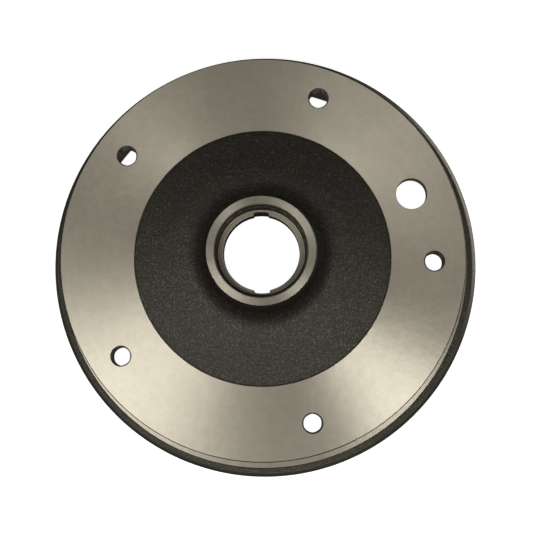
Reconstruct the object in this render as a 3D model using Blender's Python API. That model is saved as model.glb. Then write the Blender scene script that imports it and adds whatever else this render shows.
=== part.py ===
"""Front brake drum of an air-cooled car, with its hub cast in one piece, and the outer race of
its inner wheel bearing.

The origin is the centre of the open rim plane, +Z runs along the wheel axis towards the hub
nose, and the drum rests on its open rim. Both pieces turn together, as one rigid body, on a
stub axle that isn't part of them.
"""

import math

import bmesh
import bpy

MM = 0.001

# Driving dimensions in millimetres. Heights are above the open rim plane.
WHEEL_FACE_HEIGHT = 60.0
NOSE_HEIGHT = 99.0

FACE_INNER_RADIUS = 76.8
FACE_OUTER_RADIUS = 120.7
EDGE_CHAMFER = 0.7

WALL_TOP_RADIUS = 121.5
WALL_FOOT_RADIUS = 121.9
LEDGE_HEIGHT = 24.8
LEDGE_RADIUS = 125.7
FLANGE_HEIGHT = 23.8
FLANGE_CORNER = 2.6
RIM_RADIUS = 131.3

BRAKE_RADIUS = 115.0
BRAKE_TOP_HEIGHT = 45.0
RELIEF_DEPTH = 0.9
WEB_CEILING_HEIGHT = 51.9
HUB_CEILING_HEIGHT = 59.0

NOSE_RADIUS = 31.9
NOSE_DRAFT = 1.3
WEB_EDGE_HEIGHT = 61.5
WEB_CROWN_RADIUS = 55.0
WEB_CROWN_HEIGHT = 67.0
WEB_MIDDLE_HEIGHT = 69.0
CAP_SEAT_RADIUS = 26.4
CAP_SEAT_DEPTH = 4.0
MOUTH_CHAMFER = 0.7
FRONT_SEAT_RADIUS = 25.2
FRONT_SHOULDER_HEIGHT = 86.0
SHOULDER_THICKNESS = 9.5
SHOULDER_BORE_RADIUS = 22.0

NOTCH_FLOOR_RADIUS = 23.9
NOTCH_REAR_RADIUS = 22.3
NOTCH_MOUTH_WIDTH = 10.2
NOTCH_FLOOR_WIDTH = 8.2
NOTCH_ANGLES = (90.5, 271.0)

HUB_REAR_HEIGHT = 26.0
HUB_REAR_RADIUS = 38.5
REAR_SEAT_RADIUS = 32.5
REAR_SHOULDER_HEIGHT = 49.0
REAR_SHOULDER_RADIUS = 28.0

BOLT_CIRCLE_RADIUS = 102.5
BOLT_COUNT = 5
FIRST_BOLT_ANGLE = -1.2
BOLT_HOLE_RADIUS = 5.25
BOLT_MOUTH_RADIUS = 6.3
BOSS_RADIUS = 12.5
BOSS_HEIGHT = 46.0

ADJUSTER_CIRCLE_RADIUS = 97.0
ADJUSTER_ANGLE = 23.3
ADJUSTER_HOLE_RADIUS = 9.2

CUP_WIDTH = 14.5
CUP_CLEARANCE = 0.3
CUP_FRONT_RADIUS = 28.3
CUP_REAR_RADIUS = 29.9
CUP_CORNER = 0.8

TURN_STEPS = 72
HOLE_STEPS = 24
SHARP_ANGLE = math.radians(28)


def material(name, colour, roughness, metallic):
    made = bpy.data.materials.new(name)
    made.use_nodes = True
    shader = made.node_tree.nodes["Principled BSDF"]
    shader.inputs["Base Color"].default_value = (*colour, 1.0)
    shader.inputs["Roughness"].default_value = roughness
    shader.inputs["Metallic"].default_value = metallic
    return made


def fillet(centre_r, centre_z, radius, start, end, steps):
    """Points on an arc of the half section, with angles in degrees from +R towards +Z."""
    points = []
    for i in range(steps + 1):
        angle = math.radians(start + (end - start) * i / steps)
        points.append((centre_r + radius * math.cos(angle), centre_z + radius * math.sin(angle)))
    return points


def link(name, mesh):
    made = bpy.data.objects.new(name, mesh)
    bpy.context.scene.collection.objects.link(made)
    return made


def turned(name, profile):
    """Spins a closed half section about the Z axis.

    The profile runs down its outer side and back up inside."""
    mesh = bpy.data.meshes.new(name)
    shape = bmesh.new()
    corners = [shape.verts.new((r * MM, 0.0, z * MM)) for r, z in profile]
    for i, corner in enumerate(corners):
        shape.edges.new((corner, corners[(i + 1) % len(corners)]))
    shape.to_mesh(mesh)
    shape.free()
    made = link(name, mesh)
    spin = made.modifiers.new("spin", "SCREW")
    spin.axis = "Z"
    spin.angle = math.tau
    spin.steps = TURN_STEPS
    spin.render_steps = TURN_STEPS
    spin.use_merge_vertices = True
    spin.merge_threshold = 0.00001
    spin.use_smooth_shade = True
    return made


def stepped(name, rings, place, steps=HOLE_STEPS):
    """A closed solid through rings of (radius, height), bottom first, standing at place = (x, y)."""
    mesh = bpy.data.meshes.new(name)
    shape = bmesh.new()
    loops = []
    for radius, height in rings:
        loop = []
        for i in range(steps):
            angle = math.tau * (i + 0.5) / steps
            x = radius * math.cos(angle)
            y = radius * math.sin(angle)
            loop.append(shape.verts.new((x * MM, y * MM, height * MM)))
        loops.append(loop)
    for low, high in zip(loops, loops[1:]):
        for i in range(steps):
            j = (i + 1) % steps
            shape.faces.new((low[i], low[j], high[j], high[i]))
    shape.faces.new(list(reversed(loops[0])))
    shape.faces.new(loops[-1])
    shape.to_mesh(mesh)
    shape.free()
    made = link(name, mesh)
    made.location = (place[0] * MM, place[1] * MM, 0.0)
    return made


def notch_tool(name, angle):
    """A wedge that cuts one race-drift notch, with a sloping floor, through the front shoulder."""
    low = FRONT_SHOULDER_HEIGHT - SHOULDER_THICKNESS - 3.0
    high = FRONT_SHOULDER_HEIGHT + 0.6
    inner = SHOULDER_BORE_RADIUS - 4.0
    mesh = bpy.data.meshes.new(name)
    shape = bmesh.new()
    loops = []
    for floor_radius, height in ((NOTCH_REAR_RADIUS, low), (NOTCH_FLOOR_RADIUS, high)):
        outline = [(inner, -NOTCH_MOUTH_WIDTH / 2 - 0.6)]
        for i in range(5):
            across = NOTCH_FLOOR_WIDTH * (i / 4 - 0.5)
            outline.append((math.sqrt(floor_radius ** 2 - across ** 2), across))
        outline.append((inner, NOTCH_MOUTH_WIDTH / 2 + 0.6))
        loops.append([shape.verts.new((x * MM, y * MM, height * MM)) for x, y in outline])
    shape.faces.new(loops[0])
    shape.faces.new(loops[1])
    for i in range(len(loops[0])):
        j = (i + 1) % len(loops[0])
        shape.faces.new((loops[0][i], loops[0][j], loops[1][j], loops[1][i]))
    bmesh.ops.recalc_face_normals(shape, faces=shape.faces)
    shape.to_mesh(mesh)
    shape.free()
    made = link(name, mesh)
    made.rotation_euler = (0.0, 0.0, math.radians(angle))
    return made


def apply_tool(target, tool, operation):
    tool.hide_render = True
    tool.display_type = "WIRE"
    step = target.modifiers.new(tool.name, "BOOLEAN")
    step.operation = operation
    step.solver = "EXACT"
    step.object = tool


def on_circle(radius, angle):
    turn = math.radians(angle)
    return radius * math.cos(turn), radius * math.sin(turn)


def smooth(target):
    bpy.context.view_layer.objects.active = target
    target.select_set(True)
    bpy.ops.object.shade_smooth()
    target.data.set_sharp_from_angle(angle=SHARP_ANGLE)
    target.select_set(False)


def drum_profile():
    nose_foot = NOSE_RADIUS + NOSE_DRAFT
    points = [
        (CAP_SEAT_RADIUS + MOUTH_CHAMFER, NOSE_HEIGHT),
        (NOSE_RADIUS - 0.6, NOSE_HEIGHT),
        (NOSE_RADIUS, NOSE_HEIGHT - 0.6),
    ]
    # The cast nose runs down through a wide fillet into the crowned web, whose edge stands a
    # little proud of the face.
    points += fillet(nose_foot + 12.0, WEB_MIDDLE_HEIGHT + 11.6, 12.0, 180, 266, 6)
    points += [(WEB_CROWN_RADIUS - 4.0, WEB_CROWN_HEIGHT + 0.7)]
    points += [(WEB_CROWN_RADIUS + 4.0, WEB_CROWN_HEIGHT - 0.5)]
    points += [(FACE_INNER_RADIUS - 1.5, WEB_EDGE_HEIGHT + 0.4)]
    points += [(FACE_INNER_RADIUS - 0.5, WEB_EDGE_HEIGHT - 0.4)]
    points += [(FACE_INNER_RADIUS, WHEEL_FACE_HEIGHT), (FACE_OUTER_RADIUS, WHEEL_FACE_HEIGHT)]
    points += [(WALL_TOP_RADIUS, WHEEL_FACE_HEIGHT - EDGE_CHAMFER - 0.1)]
    # Turned wall and the narrow turned ledge at its foot, then the rounded cast flange round the open end.
    points += [(WALL_FOOT_RADIUS, LEDGE_HEIGHT + 0.5), (WALL_FOOT_RADIUS + 0.5, LEDGE_HEIGHT)]
    points += [(LEDGE_RADIUS, LEDGE_HEIGHT), (LEDGE_RADIUS + 0.3, FLANGE_HEIGHT)]
    corner = RIM_RADIUS - FLANGE_CORNER
    points += fillet(corner, FLANGE_HEIGHT - 0.2 - FLANGE_CORNER, FLANGE_CORNER, 90, 0, 4)
    points += [(RIM_RADIUS, 1.4), (RIM_RADIUS - 1.4, 0.0)]
    # Up the inside: brake surface, relief, web, hub barrel.
    points += [(BRAKE_RADIUS + 1.0, 0.0), (BRAKE_RADIUS, 1.0), (BRAKE_RADIUS, BRAKE_TOP_HEIGHT)]
    points += [(BRAKE_RADIUS + RELIEF_DEPTH, BRAKE_TOP_HEIGHT + 0.6)]
    points += [(BRAKE_RADIUS + RELIEF_DEPTH, BRAKE_TOP_HEIGHT + 2.6)]
    points += fillet(BRAKE_RADIUS - 3.2, WEB_CEILING_HEIGHT - 4.0, 4.0, 10, 90, 3)
    points += [(89.0, WEB_CEILING_HEIGHT), (82.0, WEB_CEILING_HEIGHT + 0.6)]
    points += [(62.0, HUB_CEILING_HEIGHT - 1.6), (54.0, HUB_CEILING_HEIGHT - 0.6)]
    points += fillet(HUB_REAR_RADIUS + 8.0, HUB_CEILING_HEIGHT - 8.0, 8.0, 94, 180, 5)
    points += [(HUB_REAR_RADIUS, HUB_REAR_HEIGHT + 1.2), (HUB_REAR_RADIUS - 1.2, HUB_REAR_HEIGHT)]
    # Rear bore: seal recess and race seat, then the grease space and the notched front shoulder.
    points += [(REAR_SEAT_RADIUS + 0.8, HUB_REAR_HEIGHT), (REAR_SEAT_RADIUS, HUB_REAR_HEIGHT + 0.8)]
    points += [(REAR_SEAT_RADIUS, REAR_SHOULDER_HEIGHT), (REAR_SHOULDER_RADIUS + 0.5, REAR_SHOULDER_HEIGHT)]
    shoulder_back = FRONT_SHOULDER_HEIGHT - SHOULDER_THICKNESS
    points += [(REAR_SHOULDER_RADIUS, REAR_SHOULDER_HEIGHT + 0.5), (25.6, shoulder_back - 1.5)]
    points += [(24.6, shoulder_back), (SHOULDER_BORE_RADIUS + 0.4, shoulder_back)]
    points += [(SHOULDER_BORE_RADIUS, shoulder_back + 0.4)]
    points += [(SHOULDER_BORE_RADIUS, FRONT_SHOULDER_HEIGHT - 0.3)]
    points += [(SHOULDER_BORE_RADIUS + 0.3, FRONT_SHOULDER_HEIGHT)]
    points += [(FRONT_SEAT_RADIUS - 0.4, FRONT_SHOULDER_HEIGHT)]
    points += [(FRONT_SEAT_RADIUS, FRONT_SHOULDER_HEIGHT + 0.4)]
    cap_floor = NOSE_HEIGHT - CAP_SEAT_DEPTH
    points += [(FRONT_SEAT_RADIUS, cap_floor - 0.4), (CAP_SEAT_RADIUS, cap_floor)]
    points += [(CAP_SEAT_RADIUS, NOSE_HEIGHT - MOUTH_CHAMFER)]
    return points


def cup_profile():
    """Outer race of the inner bearing: a ring whose raceway opens out towards the rear."""
    front = REAR_SHOULDER_HEIGHT - CUP_CLEARANCE
    rear = front - CUP_WIDTH
    outside = REAR_SEAT_RADIUS - CUP_CLEARANCE
    return [
        (CUP_FRONT_RADIUS + 0.4, front),
        (outside - CUP_CORNER, front),
        (outside, front - CUP_CORNER),
        (outside, rear + CUP_CORNER),
        (outside - CUP_CORNER, rear),
        (CUP_REAR_RADIUS + 0.4, rear),
        (CUP_REAR_RADIUS, rear + 0.4),
        (CUP_FRONT_RADIUS, front - 0.4),
    ]


for old in list(bpy.data.objects):
    bpy.data.objects.remove(old)

cast_iron = material("cast_iron", (0.30, 0.285, 0.25), 0.42, 0.9)
bearing_steel = material("bearing_steel", (0.62, 0.62, 0.63), 0.22, 1.0)

drum = turned("drum_casting", drum_profile())
drum.data.materials.append(cast_iron)

bolt_angles = [FIRST_BOLT_ANGLE + 360.0 * i / BOLT_COUNT for i in range(BOLT_COUNT)]
for i, angle in enumerate(bolt_angles):
    place = on_circle(BOLT_CIRCLE_RADIUS, angle)
    rings = [(BOSS_RADIUS, BOSS_HEIGHT), (BOSS_RADIUS + 1.5, 54.0)]
    apply_tool(drum, stepped(f"boss_{i + 1}", rings, place), "UNION")
lead = BOLT_MOUTH_RADIUS - BOLT_HOLE_RADIUS
bolt_rings = [
    (BOLT_HOLE_RADIUS, BOSS_HEIGHT - 6.0),
    (BOLT_HOLE_RADIUS, WHEEL_FACE_HEIGHT - lead),
    (BOLT_MOUTH_RADIUS + 0.8, WHEEL_FACE_HEIGHT + 0.8),
]
for i, angle in enumerate(bolt_angles):
    place = on_circle(BOLT_CIRCLE_RADIUS, angle)
    apply_tool(drum, stepped(f"bolt_hole_{i + 1}", bolt_rings, place), "DIFFERENCE")
adjuster_rings = [(ADJUSTER_HOLE_RADIUS, 40.0), (ADJUSTER_HOLE_RADIUS, 65.0)]
adjuster_place = on_circle(ADJUSTER_CIRCLE_RADIUS, ADJUSTER_ANGLE)
adjuster = stepped("adjuster_hole", adjuster_rings, adjuster_place, steps=32)
apply_tool(drum, adjuster, "DIFFERENCE")
for i, angle in enumerate(NOTCH_ANGLES):
    apply_tool(drum, notch_tool(f"drift_notch_{i + 1}", angle), "DIFFERENCE")
smooth(drum)

cup = turned("inner_bearing_cup", cup_profile())
cup.data.materials.append(bearing_steel)
smooth(cup)
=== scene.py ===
"""Looks for the brake drum: a fine turned casting with threads and cast skin, the bearing cup, a
white floor, two softboxes beside the camera and weaker fill lights round them.

Lengths in the shape code are millimetres. Object coordinates, the stage and the lights are in metres.
"""

import math

import bmesh
import bpy
from mathutils import Matrix, Vector, noise


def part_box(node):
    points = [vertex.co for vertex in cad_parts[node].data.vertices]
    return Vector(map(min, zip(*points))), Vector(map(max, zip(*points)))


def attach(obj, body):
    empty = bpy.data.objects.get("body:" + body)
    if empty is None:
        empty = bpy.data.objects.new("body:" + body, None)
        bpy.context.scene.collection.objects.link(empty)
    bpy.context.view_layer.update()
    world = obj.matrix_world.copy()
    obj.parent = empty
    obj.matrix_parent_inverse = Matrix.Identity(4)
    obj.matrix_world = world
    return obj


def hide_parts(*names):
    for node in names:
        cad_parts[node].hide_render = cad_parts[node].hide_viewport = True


MM = 0.001
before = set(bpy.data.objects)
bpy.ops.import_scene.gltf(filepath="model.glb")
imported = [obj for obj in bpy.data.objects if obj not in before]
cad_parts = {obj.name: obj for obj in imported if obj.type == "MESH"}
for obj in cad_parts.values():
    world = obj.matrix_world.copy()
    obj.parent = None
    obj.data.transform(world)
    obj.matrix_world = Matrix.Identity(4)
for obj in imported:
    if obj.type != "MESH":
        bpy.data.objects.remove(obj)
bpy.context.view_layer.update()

# Driving heights and radii, read from the frame where it holds them.
drum_low, drum_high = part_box("drum_casting")
cup_low, cup_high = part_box("inner_bearing_cup")
RIM_RADIUS = drum_high[0] / MM
NOSE_HEIGHT = drum_high[2] / MM
CUP_RADIUS = cup_high[0] / MM
CUP_FRONT = cup_high[2] / MM
CUP_REAR = cup_low[2] / MM
NOSE_STAND = 39.0
FACE_HEIGHT = NOSE_HEIGHT - NOSE_STAND
FACE_INNER = 76.8
FACE_OUTER = 120.7
BRAKE_RADIUS = 115.0
BRAKE_TOP = 45.0
RELIEF_DEPTH = 0.9
SHOULDER_DEPTH = 13.0
SHOULDER_HEIGHT = NOSE_HEIGHT - SHOULDER_DEPTH
SHOULDER_THICKNESS = 9.5
SHOULDER_BORE = 22.0

BOLT_CIRCLE = 102.5
BOLT_COUNT = 5
FIRST_BOLT_ANGLE = -1.2
THREAD_MAJOR = 6.0
THREAD_MINOR = 5.25
THREAD_PITCH = 1.5
BOLT_MOUTH = 6.3
BOSS_BOTTOM = 46.0
BOSS_RADIUS = 12.5

ADJUSTER_CIRCLE = 97.0
ADJUSTER_ANGLE = 23.3
ADJUSTER_HOLE = 9.2

FLANGE_START = 126.5
FLANGE_OFFSET = 0.6

NOTCH_FLOOR = 23.9
NOTCH_REAR = 22.3
NOTCH_ANGLES = (90.5, 271.0)
NOTCH_MOUTH_WIDTH = 10.2
NOTCH_FLOOR_WIDTH = 8.2

TURN_STEPS = 288
HOLE_STEPS = 48
SHARP_ANGLE = math.radians(32)
FLAT_NORMAL = 0.99995

# Cast skin: how far the sand mould left it uneven in millimetres, and over what distance in metres.
SKIN_SWELL = 0.12
SKIN_SWELL_SIZE = 0.009
SKIN_SPACING = 3.0

# Material slots of the drum, in order.
CAST, INSIDE, FACE, NOSE, EDGE, WORN, TURNED, BORE, CAVITY, BRAKE, THREAD = range(11)


# ---------------------------------------------------------------- node helpers
def new_material(name):
    made = bpy.data.materials.new(name)
    made.use_nodes = True
    nodes = made.node_tree.nodes
    return made, nodes, made.node_tree.links, nodes["Principled BSDF"]


def math_node(nodes, links, operation, *values, clamp=False):
    """A Math node; each value is a number or a socket."""
    node = nodes.new("ShaderNodeMath")
    node.operation = operation
    node.use_clamp = clamp
    for i, value in enumerate(values):
        if isinstance(value, (int, float)):
            node.inputs[i].default_value = value
        else:
            links.new(value, node.inputs[i])
    return node.outputs[0]


def noise_node(nodes, links, vector, scale, detail=4.0, roughness=0.55):
    """3-D noise at so many cells per metre of the object's own coordinates."""
    node = nodes.new("ShaderNodeTexNoise")
    node.inputs["Scale"].default_value = scale
    node.inputs["Detail"].default_value = detail
    node.inputs["Roughness"].default_value = roughness
    links.new(vector, node.inputs["Vector"])
    return node.outputs[0]


def ring_noise(nodes, links, across, scale, detail=2.0):
    """Noise that changes only across the tool marks."""
    node = nodes.new("ShaderNodeTexNoise")
    node.noise_dimensions = "1D"
    node.inputs["Scale"].default_value = scale
    node.inputs["Detail"].default_value = detail
    links.new(across, node.inputs["W"])
    return node.outputs[0]


def spread(nodes, links, value, low, high, to_low=0.0, to_high=1.0):
    node = nodes.new("ShaderNodeMapRange")
    node.inputs["From Min"].default_value = low
    node.inputs["From Max"].default_value = high
    node.inputs["To Min"].default_value = to_low
    node.inputs["To Max"].default_value = to_high
    links.new(value, node.inputs["Value"])
    return node.outputs[0]


def mix_colour(nodes, links, factor, first, second):
    node = nodes.new("ShaderNodeMix")
    node.data_type = "RGBA"
    links.new(factor, node.inputs["Factor"])
    for socket, value in ((node.inputs["A"], first), (node.inputs["B"], second)):
        if isinstance(value, tuple):
            socket.default_value = (*value, 1.0)
        else:
            links.new(value, socket)
    return node.outputs["Result"]


def bump_node(nodes, links, height, strength, distance, under=None):
    node = nodes.new("ShaderNodeBump")
    node.inputs["Strength"].default_value = strength
    node.inputs["Distance"].default_value = distance
    links.new(height, node.inputs["Height"])
    if under is not None:
        links.new(under, node.inputs["Normal"])
    return node.outputs["Normal"]


def object_places(nodes, links):
    """The object's own coordinates, and the distance across turned tool marks: radius plus height."""
    places = nodes.new("ShaderNodeTexCoord").outputs["Object"]
    split = nodes.new("ShaderNodeSeparateXYZ")
    links.new(places, split.inputs[0])
    x, y, z = split.outputs
    squares = math_node(nodes, links, "MULTIPLY", x, x)
    squares = math_node(nodes, links, "MULTIPLY_ADD", y, y, squares)
    radius = math_node(nodes, links, "SQRT", squares)
    return places, math_node(nodes, links, "ADD", radius, z)


# ---------------------------------------------------------------- materials
OLD_OIL = (0.12, 0.11, 0.09)
GRAPHITE = (0.05, 0.045, 0.04)
BARE_IRON = (0.8, 0.77, 0.68)
ACROSS_MARKS = 0.25
MARK_HEIGHT = 0.00002
WAVE_HEIGHT = 0.00012


def turned_iron(name, colour, roughness, anisotropy, mark_depth, stain, wave=0.27):
    """Machined cast iron: concentric tool marks, faint stains and fine dark graphite pits."""
    made, nodes, links, shader = new_material(name)
    places, across = object_places(nodes, links)
    marks = ring_noise(nodes, links, across, 5200.0)
    passes = ring_noise(nodes, links, across, 420.0, detail=3.0)
    stains = noise_node(nodes, links, places, 21.0, detail=5.0)
    mottle = noise_node(nodes, links, places, 240.0, detail=4.0)
    pits = spread(nodes, links, noise_node(nodes, links, places, 1300.0, detail=2.0), 0.67, 0.75)
    glints = spread(nodes, links, noise_node(nodes, links, places, 1700.0, detail=1.0), 0.70, 0.76)

    dark = tuple(c * (1.0 - stain) for c in colour)
    light = tuple(min(1.0, c * (1.0 + stain * 0.6)) for c in colour)
    cloudy = spread(nodes, links, stains, 0.3, 0.75, 0.0, 0.65)
    tone = math_node(nodes, links, "MULTIPLY_ADD", passes, 0.35, cloudy)
    base = mix_colour(nodes, links, tone, dark, light)
    tint = math_node(nodes, links, "MULTIPLY", spread(nodes, links, mottle, 0.35, 0.65), stain)
    pitted = math_node(nodes, links, "MULTIPLY", pits, 0.5)
    glinting = math_node(nodes, links, "MULTIPLY", glints, 0.5)
    base = mix_colour(nodes, links, tint, base, OLD_OIL)
    base = mix_colour(nodes, links, pitted, base, GRAPHITE)
    base = mix_colour(nodes, links, glinting, base, BARE_IRON)
    links.new(base, shader.inputs["Base Color"])

    shader.inputs["Metallic"].default_value = 1.0
    shader.inputs["Anisotropic"].default_value = anisotropy
    shader.inputs["Anisotropic Rotation"].default_value = ACROSS_MARKS
    rough = math_node(nodes, links, "MULTIPLY_ADD", marks, 0.06, roughness - 0.05)
    rough = math_node(nodes, links, "MULTIPLY_ADD", stains, 0.08, rough)
    links.new(rough, shader.inputs["Roughness"])

    tangent = nodes.new("ShaderNodeTangent")
    tangent.direction_type = "RADIAL"
    tangent.axis = "Z"
    links.new(tangent.outputs[0], shader.inputs["Tangent"])
    waves = bump_node(nodes, links, mottle, min(1.0, wave), WAVE_HEIGHT * max(1.0, wave))
    grooves = bump_node(nodes, links, marks, mark_depth, MARK_HEIGHT, waves)
    links.new(grooves, shader.inputs["Normal"])
    return made


def cast_skin(name, colour, speck, shine):
    """Sand-cast iron under thin black paint: sandy grain, and specks where it catches the light."""
    made, nodes, links, shader = new_material(name)
    places, _ = object_places(nodes, links)
    grain = noise_node(nodes, links, places, 850.0, detail=5.0, roughness=0.62)
    coarse = noise_node(nodes, links, places, 210.0, detail=4.0)
    clouds = noise_node(nodes, links, places, 30.0, detail=4.0)

    dark = tuple(c * 0.62 for c in colour)
    base = mix_colour(nodes, links, spread(nodes, links, clouds, 0.3, 0.7), dark, colour)
    specks = spread(nodes, links, grain, 0.50, 0.68)
    base = mix_colour(nodes, links, specks, base, speck)
    links.new(base, shader.inputs["Base Color"])

    shader.inputs["Metallic"].default_value = 0.0
    shader.inputs["Specular IOR Level"].default_value = shine
    shader.inputs["Specular Tint"].default_value = (1.0, 0.94, 0.83, 1.0)
    links.new(spread(nodes, links, grain, 0.3, 0.75, 0.62, 0.34), shader.inputs["Roughness"])
    rough_skin = bump_node(nodes, links, coarse, 0.35, 0.0005)
    links.new(bump_node(nodes, links, grain, 0.6, 0.0004, rough_skin), shader.inputs["Normal"])
    return made


def oiled_thread(name):
    """The tapped holes' walls, with patches of dark oil."""
    made, nodes, links, shader = new_material(name)
    places, _ = object_places(nodes, links)
    film = noise_node(nodes, links, places, 260.0)
    base = mix_colour(nodes, links, film, (0.04, 0.037, 0.03), (0.32, 0.30, 0.26))
    links.new(base, shader.inputs["Base Color"])
    shader.inputs["Metallic"].default_value = 0.9
    links.new(spread(nodes, links, film, 0.3, 0.7, 0.3, 0.5), shader.inputs["Roughness"])
    links.new(bump_node(nodes, links, film, 0.2, 0.0001), shader.inputs["Normal"])
    return made


def ground_steel(name):
    """Hard bearing steel with very fine grinding marks."""
    made, nodes, links, shader = new_material(name)
    places, across = object_places(nodes, links)
    marks = ring_noise(nodes, links, across, 9000.0)
    film = noise_node(nodes, links, places, 60.0)
    base = mix_colour(nodes, links, film, (0.5, 0.5, 0.5), (0.66, 0.66, 0.67))
    links.new(base, shader.inputs["Base Color"])
    shader.inputs["Metallic"].default_value = 1.0
    links.new(math_node(nodes, links, "MULTIPLY_ADD", film, 0.12, 0.12), shader.inputs["Roughness"])
    links.new(bump_node(nodes, links, marks, 0.08, 0.00001), shader.inputs["Normal"])
    return made


# ---------------------------------------------------------------- shape helpers
def rounded(corners):
    """Turns corners (r, z, rounding, finish) of a closed half section into points and finishes.

    A corner's finish is that of the span that leaves it. Its rounding is the radius of its fillet.
    """
    points = []
    finishes = []
    count = len(corners)
    for i, (r, z, rounding, finish) in enumerate(corners):
        here = Vector((r, z))
        before = (Vector(corners[i - 1][:2]) - here).normalized()
        after = (Vector(corners[(i + 1) % count][:2]) - here).normalized()
        opening = before.angle(after)
        if rounding <= 0.0 or opening > math.radians(176):
            points.append((r, z))
            finishes.append(finish)
            continue
        reach = rounding / math.tan(opening / 2)
        centre = here + (before + after).normalized() * (rounding / math.sin(opening / 2))
        start = here + before * reach - centre
        end = here + after * reach - centre
        turn = start.angle_signed(end)
        steps = max(2, round(abs(math.degrees(turn)) / 12))
        for k in range(steps + 1):
            angle = -turn * k / steps
            spoke = Matrix.Rotation(angle, 2) @ start
            points.append(tuple(centre + spoke))
            finishes.append(finish)
        mid = len(finishes) - steps - 1
        for k in range(mid, mid + steps // 2):
            finishes[k] = corners[i - 1][3]
    return points, finishes


def filled_in(points, finishes, longest):
    """Adds points along cast spans, so that their skin can be uneven."""
    more = []
    marks = []
    for i, (point, finish) in enumerate(zip(points, finishes)):
        more.append(point)
        marks.append(finish)
        after = points[(i + 1) % len(points)]
        length = math.dist(point, after)
        parts = math.ceil(length / longest) if finish == CAST else 1
        for k in range(1, parts):
            more.append(tuple(a + (b - a) * k / parts for a, b in zip(point, after)))
            marks.append(finish)
    return more, marks


def lathe(points, finishes, steps):
    """A closed bmesh turned about Z. The section runs down its outer side."""
    shape = bmesh.new()
    rings = []
    for i in range(steps):
        turn = math.tau * i / steps
        across = math.cos(turn) * MM
        along = math.sin(turn) * MM
        rings.append([shape.verts.new((r * across, r * along, z * MM)) for r, z in points])
    count = len(points)
    for i in range(steps):
        here, after = rings[i], rings[(i + 1) % steps]
        for j in range(count):
            k = (j + 1) % count
            face = shape.faces.new((here[j], here[k], after[k], after[j]))
            face.material_index = finishes[j]
    return shape


def roughen(shape, depth, size):
    """Moves the inner vertices of cast skin along their normals, as a sand mould leaves it."""
    shape.normal_update()
    moves = []
    for vert in shape.verts:
        if all(face.material_index == CAST for face in vert.link_faces):
            swell = noise.fractal(vert.co / size, 1.0, 2.0, 3)
            moves.append((vert, vert.normal * swell * depth * MM))
    for vert, move in moves:
        vert.co += move


def as_object(name, shape, materials=()):
    mesh = bpy.data.meshes.new(name)
    shape.to_mesh(mesh)
    shape.free()
    for material in materials:
        mesh.materials.append(material)
    made = bpy.data.objects.new(name, mesh)
    bpy.context.scene.collection.objects.link(made)
    return made


def add_rings(shape, rings, place, steps, finish):
    """Adds a closed solid through rings of (radius, height), bottom first."""
    loops = []
    for radius, height in rings:
        loop = []
        for i in range(steps):
            turn = math.tau * (i + 0.5) / steps
            x = place[0] + radius * math.cos(turn)
            y = place[1] + radius * math.sin(turn)
            loop.append(shape.verts.new((x * MM, y * MM, height * MM)))
        loops.append(loop)
    faces = [shape.faces.new(list(reversed(loops[0]))), shape.faces.new(loops[-1])]
    for low, high in zip(loops, loops[1:]):
        for i in range(steps):
            j = (i + 1) % steps
            faces.append(shape.faces.new((low[i], low[j], high[j], high[i])))
    for face in faces:
        face.material_index = finish


def add_notch(shape, angle):
    """Adds the wedge that cuts one drift notch, with a sloping floor, through the front shoulder."""
    low = SHOULDER_HEIGHT - SHOULDER_THICKNESS - 3.0
    high = SHOULDER_HEIGHT + 0.6
    inner = SHOULDER_BORE - 4.0
    turn = Matrix.Rotation(math.radians(angle), 3, "Z")
    loops = []
    for floor_radius, height in ((NOTCH_REAR, low), (NOTCH_FLOOR, high)):
        outline = [(inner, -NOTCH_MOUTH_WIDTH / 2 - 0.6)]
        for i in range(13):
            across = NOTCH_FLOOR_WIDTH * (i / 12 - 0.5)
            outline.append((math.sqrt(floor_radius ** 2 - across ** 2), across))
        outline.append((inner, NOTCH_MOUTH_WIDTH / 2 + 0.6))
        corners = [turn @ Vector((x * MM, y * MM, height * MM)) for x, y in outline]
        loops.append([shape.verts.new(corner) for corner in corners])
    floor, roof = loops
    faces = [shape.faces.new(list(reversed(floor))), shape.faces.new(roof)]
    for i in range(len(floor)):
        j = (i + 1) % len(floor)
        faces.append(shape.faces.new((floor[i], floor[j], roof[j], roof[i])))
    for face in faces:
        # the notch walls are near-black: painted shade
        face.material_index = CAVITY


def on_circle(radius, angle):
    turn = math.radians(angle)
    return radius * math.cos(turn), radius * math.sin(turn)


def thread_radius(turn, height):
    """Wall radius of a tapped hole: a right-hand thread between two chamfered mouths."""
    phase = (height / THREAD_PITCH - turn / math.tau) % 1.0
    crest = min(1.0, max(0.0, abs(phase - 0.5) * 2.6 - 0.45))
    wall = THREAD_MAJOR - (THREAD_MAJOR - THREAD_MINOR) * crest
    top = BOLT_MOUTH - (FACE_HEIGHT - height)
    bottom = BOLT_MOUTH - (height - BOSS_BOTTOM)
    return max(wall, top, bottom)


def add_thread(shape, place, steps=HOLE_STEPS, rise=0.25):
    """Adds the inward-facing wall of one tapped hole."""
    levels = round((FACE_HEIGHT - BOSS_BOTTOM) / rise)
    loops = []
    for level in range(levels + 1):
        height = BOSS_BOTTOM + (FACE_HEIGHT - BOSS_BOTTOM) * level / levels
        loop = []
        for i in range(steps):
            turn = math.tau * (i + 0.5) / steps
            radius = thread_radius(turn, height)
            x = place[0] + radius * math.cos(turn)
            y = place[1] + radius * math.sin(turn)
            loop.append(shape.verts.new((x * MM, y * MM, height * MM)))
        loops.append(loop)
    for low, high in zip(loops, loops[1:]):
        for i in range(steps):
            j = (i + 1) % steps
            face = shape.faces.new((low[i], high[i], high[j], low[j]))
            face.material_index = THREAD


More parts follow.
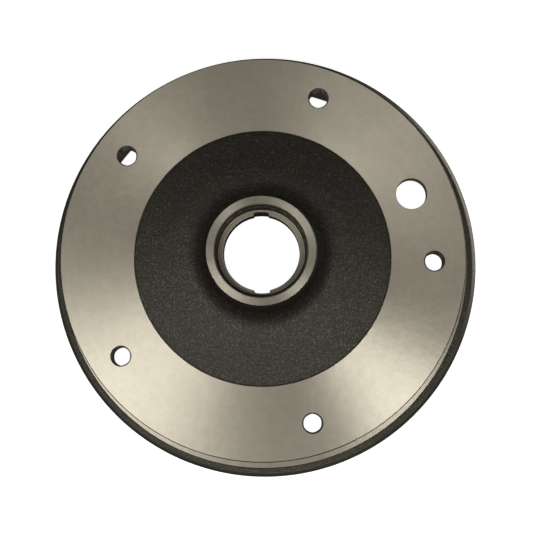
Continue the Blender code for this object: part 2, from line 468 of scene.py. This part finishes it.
def apply_boolean(target, tool, operation):
    step = target.modifiers.new(tool.name, "BOOLEAN")
    step.operation = operation
    step.solver = "EXACT"
    step.object = tool
    made = bpy.data.meshes.new_from_object(target.evaluated_get(bpy.context.evaluated_depsgraph_get()))
    target.modifiers.remove(step)
    target.data = made
    bpy.data.objects.remove(tool)


def finish_shading(target):
    target.data.shade_smooth()
    target.data.set_sharp_from_angle(angle=SHARP_ANGLE)
    for polygon in target.data.polygons:
        if abs(polygon.normal.z) > FLAT_NORMAL:
            polygon.use_smooth = False


# ---------------------------------------------------------------- the drum
def drum_corners():
    """Corners of the drum's half section: down its outer side from the nose, and back up inside."""
    nose = 31.9
    nose_foot = nose + 1.3
    cap_seat = 26.4
    race_seat = 25.2
    cap_floor = NOSE_HEIGHT - 4.0
    shoulder_back = SHOULDER_HEIGHT - SHOULDER_THICKNESS
    wall_foot = 121.9
    ledge = 24.8
    ledge_radius = 125.7
    flange = 23.8
    hub_rear = 26.0
    hub_outside = 38.5
    rear_seat = 32.5
    rear_shoulder = 49.0
    return [
        (cap_seat + 0.7, NOSE_HEIGHT, 0.15, NOSE),
        (nose - 0.5, NOSE_HEIGHT, 0.2, EDGE),
        (nose, NOSE_HEIGHT - 0.6, 0.3, CAST),
        (nose_foot, 68.6, 13.0, CAST),
        (52.0, 66.8, 60.0, CAST),
        (FACE_INNER - 0.5, 61.5, 0.8, CAST),
        (FACE_INNER, FACE_HEIGHT, 0.3, FACE),
        # the near-black chamfer leaving this corner is painted shade, the dark line round the face's
        # outer edge
        (FACE_OUTER, FACE_HEIGHT, 0.15, EDGE),
        (FACE_OUTER + 0.5, FACE_HEIGHT - 0.5, 0.15, FACE),
        (wall_foot, ledge, 0.6, NOSE),
        (ledge_radius, ledge, 0.15, CAST),
        (ledge_radius + 0.3, flange, 0.3, CAST),
        (RIM_RADIUS - 2.4, flange - 0.1, 1.8, WORN),
        (RIM_RADIUS, flange - 2.2, 2.2, WORN),
        (RIM_RADIUS, 1.4, 0.4, EDGE),
        (RIM_RADIUS - 1.4, 0.0, 0.4, BRAKE),
        (BRAKE_RADIUS + 1.0, 0.0, 0.3, BRAKE),
        (BRAKE_RADIUS, 1.0, 0.3, BRAKE),
        (BRAKE_RADIUS, BRAKE_TOP, 0.1, BRAKE),
        (BRAKE_RADIUS + RELIEF_DEPTH, BRAKE_TOP + 0.6, 0.2, BRAKE),
        (BRAKE_RADIUS + RELIEF_DEPTH, BRAKE_TOP + 2.6, 0.3, INSIDE),
        (BRAKE_RADIUS + 0.2, 51.9, 3.6, INSIDE),
        (86.0, 51.9, 30.0, INSIDE),
        (56.0, 58.6, 20.0, INSIDE),
        (hub_outside, 59.4, 8.0, INSIDE),
        (hub_outside, hub_rear, 1.2, TURNED),
        (rear_seat + 0.8, hub_rear, 0.15, BORE),
        (rear_seat, hub_rear + 0.8, 0.15, BORE),
        (rear_seat, rear_shoulder, 0.3, BORE),
        (28.0, rear_shoulder, 0.5, CAST),
        (25.6, shoulder_back - 1.5, 1.0, CAST),
        (24.6, shoulder_back, 1.0, CAST),
        (SHOULDER_BORE, shoulder_back, 0.4, CAVITY),
        (SHOULDER_BORE, SHOULDER_HEIGHT, 0.35, TURNED),
        # the race seat's wall leaving this corner is near-black: painted shade in the recess
        (race_seat, SHOULDER_HEIGHT, 0.4, BORE),
        (race_seat, cap_floor - 0.4, 0.1, BORE),
        (cap_seat, cap_floor, 0.1, BORE),
        (cap_seat, NOSE_HEIGHT - 0.7, 0.1, TURNED),
    ]


def add_bosses(shape, places):
    """Adds the flared bosses that back the wheel face behind the bolt holes."""
    flare = [(BOSS_RADIUS - 0.8, BOSS_BOTTOM), (BOSS_RADIUS, BOSS_BOTTOM + 0.8)]
    for i in range(6):
        sweep = math.radians(90 * i / 5)
        radius = BOSS_RADIUS + 0.3 + 3.0 * (1 - math.cos(sweep))
        flare.append((radius, BOSS_BOTTOM + 3.2 + 3.2 * math.sin(sweep)))
    flare.append((BOSS_RADIUS + 3.3, BOSS_BOTTOM + 8.0))
    for place in places:
        add_rings(shape, flare, place, HOLE_STEPS, INSIDE)


def add_holes(shape, places):
    """Adds the cutters of the bolt holes, the adjuster hole and the drift notches."""
    low = BOSS_BOTTOM - 6.0
    for place in places:
        add_rings(shape, [(BOLT_MOUTH, low), (BOLT_MOUTH, FACE_HEIGHT + 6.0)], place, HOLE_STEPS, THREAD)
    adjuster = [
        (ADJUSTER_HOLE, low),
        (ADJUSTER_HOLE, FACE_HEIGHT - 0.25),
        (ADJUSTER_HOLE + 1.0, FACE_HEIGHT + 0.75),
    ]
    add_rings(shape, adjuster, on_circle(ADJUSTER_CIRCLE, ADJUSTER_ANGLE), 72, THREAD)
    for angle in NOTCH_ANGLES:
        add_notch(shape, angle)


def drum(materials):
    points, finishes = filled_in(*rounded(drum_corners()), longest=SKIN_SPACING)
    shape = lathe(points, finishes, TURN_STEPS)
    # The flange isn't turned, so it stands a little off the turned surfaces' axis.
    for vert in shape.verts:
        if math.hypot(vert.co.x, vert.co.y) > FLANGE_START * MM:
            vert.co.x += FLANGE_OFFSET * MM
    roughen(shape, SKIN_SWELL, SKIN_SWELL_SIZE)
    made = as_object("brake_drum", shape, materials)

    bolt_angles = [FIRST_BOLT_ANGLE + 360.0 * i / BOLT_COUNT for i in range(BOLT_COUNT)]
    places = [on_circle(BOLT_CIRCLE, angle) for angle in bolt_angles]
    bosses = bmesh.new()
    add_bosses(bosses, places)
    apply_boolean(made, as_object("bosses", bosses), "UNION")
    cuts = bmesh.new()
    add_holes(cuts, places)
    apply_boolean(made, as_object("cuts", cuts), "DIFFERENCE")

    shape = bmesh.new()
    shape.from_mesh(made.data)
    for place in places:
        add_thread(shape, place)
    shape.to_mesh(made.data)
    shape.free()
    finish_shading(made)
    return made


def bearing_cup(material):
    """The inner bearing's outer race, with its raceway opening out towards the rear."""
    front_inside = 28.3
    rear_inside = 29.9
    corners = [
        (front_inside, CUP_FRONT, 0.3, 0),
        (CUP_RADIUS, CUP_FRONT, 1.0, 0),
        (CUP_RADIUS, CUP_REAR, 1.0, 0),
        (rear_inside, CUP_REAR, 0.4, 0),
    ]
    points, finishes = rounded(corners)
    made = as_object("bearing_cup", lathe(points, finishes, 192), [material])
    finish_shading(made)
    return made


# ---------------------------------------------------------------- floor, lights and camera
RING_STEPS = 96


def one_sided(name, colour, glow):
    """A stage material that can be seen, and lights, from above only."""
    made, nodes, links, shader = new_material(name)
    shader.inputs["Base Color"].default_value = (*colour, 1.0)
    shader.inputs["Roughness"].default_value = 0.9
    shader.inputs["Specular IOR Level"].default_value = 0.0
    shader.inputs["Emission Color"].default_value = (1.0, 1.0, 1.0, 1.0)
    shader.inputs["Emission Strength"].default_value = glow
    back = nodes.new("ShaderNodeNewGeometry").outputs["Backfacing"]
    clear = nodes.new("ShaderNodeBsdfTransparent").outputs[0]
    mix = nodes.new("ShaderNodeMixShader")
    links.new(back, mix.inputs[0])
    links.new(shader.outputs[0], mix.inputs[1])
    links.new(clear, mix.inputs[2])
    links.new(mix.outputs[0], nodes["Material Output"].inputs["Surface"])
    return made


def stage_ring(name, inner, outer, height, material, lights_part=True, in_view=True, casts=True):
    """A flat ring of the stage facing up, or a disc where inner is 0."""
    shape = bmesh.new()
    rims = []
    turns = [math.tau * i / RING_STEPS for i in range(RING_STEPS)]
    for radius in (inner, outer):
        rims.append([shape.verts.new((radius * math.cos(a), radius * math.sin(a), 0.0)) for a in turns])
    for i in range(RING_STEPS):
        j = (i + 1) % RING_STEPS
        shape.faces.new((rims[0][i], rims[1][i], rims[1][j], rims[0][j]))
    bmesh.ops.remove_doubles(shape, verts=shape.verts, dist=0.000001)
    made = as_object(name, shape, [material])
    made.location.z = height
    made.visible_diffuse = lights_part
    made.visible_glossy = lights_part
    made.visible_camera = in_view
    made.visible_shadow = casts


def stage():
    """The white floor, the light that shows through the holes, and shades against the lower lamp."""
    pale = one_sided("pale_floor", (0.85, 0.85, 0.84), 0.75)
    dim = one_sided("dim_pad", (0.0, 0.0, 0.0), 0.035)
    bright = one_sided("light_pad", (0.0, 0.0, 0.0), 1.0)
    stage_ring("floor", 0.0, 12.0, -0.0006, pale, lights_part=False, casts=False)
    stage_ring("under_shade", 0.090, 0.1285, -0.0003, dim, in_view=False)
    stage_ring("bore_shade", 0.0, 0.027, -0.0003, dim, in_view=False)
    stage_ring("under_light", 0.0, 0.1148, 0.0002, bright, lights_part=False, casts=False)


def soft_light(name, direction, distance, size, power, height=None):
    """A round or oval lamp, size across, that faces the wheel face's centre from direction."""
    target = Vector((0.0, 0.0, FACE_HEIGHT * MM))
    lamp = bpy.data.lights.new(name, "AREA")
    lamp.shape = "ELLIPSE"
    lamp.size = size
    lamp.size_y = height or size
    lamp.color = (1.0, 0.985, 0.95)
    lamp.energy = power
    made = bpy.data.objects.new(name, lamp)
    made.location = target + Vector(direction).normalized() * distance
    made.rotation_euler = (made.location - target).to_track_quat("Z", "Y").to_euler()
    made.visible_camera = False
    bpy.context.scene.collection.objects.link(made)


def lights():
    """Two softboxes and three fills above, one low lamp for the flange and one below for the bowl."""
    soft_light("left_softbox", (-0.345, -0.215, 0.913), 1.05, 0.46, 3.35)
    soft_light("right_softbox", (0.335, -0.27, 0.90), 1.05, 0.28, 2.75)
    soft_light("near_fill", (-0.10, -0.57, 0.82), 1.25, 0.7, 1.0)
    soft_light("left_fill", (-0.52, 0.02, 0.85), 1.15, 0.5, 0.45)
    soft_light("right_fill", (0.52, 0.08, 0.85), 1.15, 0.5, 0.4)
    soft_light("rim_light", (0.92, 0.36, -0.14), 0.27, 0.30, 0.24, height=0.04)
    soft_light("under_lamp", (0.0, 0.0, -1.0), 0.7, 0.12, 2.5)


def surroundings():
    """Dim warm room light from all round."""
    world = bpy.data.worlds.new("studio")
    world.use_nodes = True
    background = world.node_tree.nodes["Background"]
    background.inputs["Color"].default_value = (1.0, 0.955, 0.865, 1.0)
    background.inputs["Strength"].default_value = 0.152
    bpy.context.scene.world = world


def camera():
    """Nearly square on to the wheel face, a little from below and from the right."""
    tilt = math.radians(5.83)
    pan = math.radians(1.10)
    offset = Vector((2.38, -5.17, 835.9)) * MM
    made = bpy.data.objects.new("camera", bpy.data.cameras.new("camera"))
    made.data.lens = 94.6
    made.data.sensor_width = 36.0
    bpy.context.scene.collection.objects.link(made)
    face_centre = Matrix.Translation((0.0, 0.0, FACE_HEIGHT * MM))
    turn = Matrix.Rotation(pan, 4, "Y") @ Matrix.Rotation(tilt, 4, "X")
    made.matrix_world = face_centre @ turn @ Matrix.Translation(offset)
    bpy.context.scene.camera = made


# ---------------------------------------------------------------- the scene
slots = [
    cast_skin("black_cast_skin", (0.0028, 0.0024, 0.0019), (0.045, 0.038, 0.030), 0.5),
    cast_skin("inner_skin", (0.032, 0.029, 0.024), (0.11, 0.10, 0.08), 0.5),
    turned_iron("turned_face", (0.50, 0.465, 0.385), 0.365, 0.85, 0.35, 0.10),
    turned_iron("turned_nose", (0.36, 0.338, 0.282), 0.38, 0.8, 0.35, 0.12),
    # near-black turned iron on the small chamfers: painted shade for the dark lines at the nose's and
    # face's outer edges
    turned_iron("edge_painted_shade", (0.05, 0.046, 0.038), 0.42, 0.3, 0.2, 0.12),
    turned_iron("worn_skin", (0.122, 0.115, 0.095), 0.5, 0.1, 0.6, 0.3, wave=2.0),
    turned_iron("turned_shoulder", (0.265, 0.246, 0.20), 0.42, 0.5, 0.4, 0.14),
    # near-black turned iron on the bored seats down in the hub: painted shade of the recess walls
    turned_iron("bored_seat_painted_shade", (0.024, 0.020, 0.015), 0.5, 0.5, 0.5, 0.2),
    # near-black dull skin in the drift notches and behind the shoulder: painted shade in the notches
    cast_skin("cavity_painted_shade", (0.006, 0.0055, 0.005), (0.012, 0.011, 0.01), 0.25),
    turned_iron("brake_surface", (0.56, 0.535, 0.485), 0.42, 0.75, 0.6, 0.14),
    oiled_thread("oiled_thread"),
]
body = drum(slots)
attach(body, "root")
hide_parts("drum_casting")

cup = bearing_cup(ground_steel("ground_bearing_steel"))
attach(cup, "root")
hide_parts("inner_bearing_cup")

stage()
surroundings()
lights()
camera()
bpy.context.scene.view_settings.view_transform = "Standard"
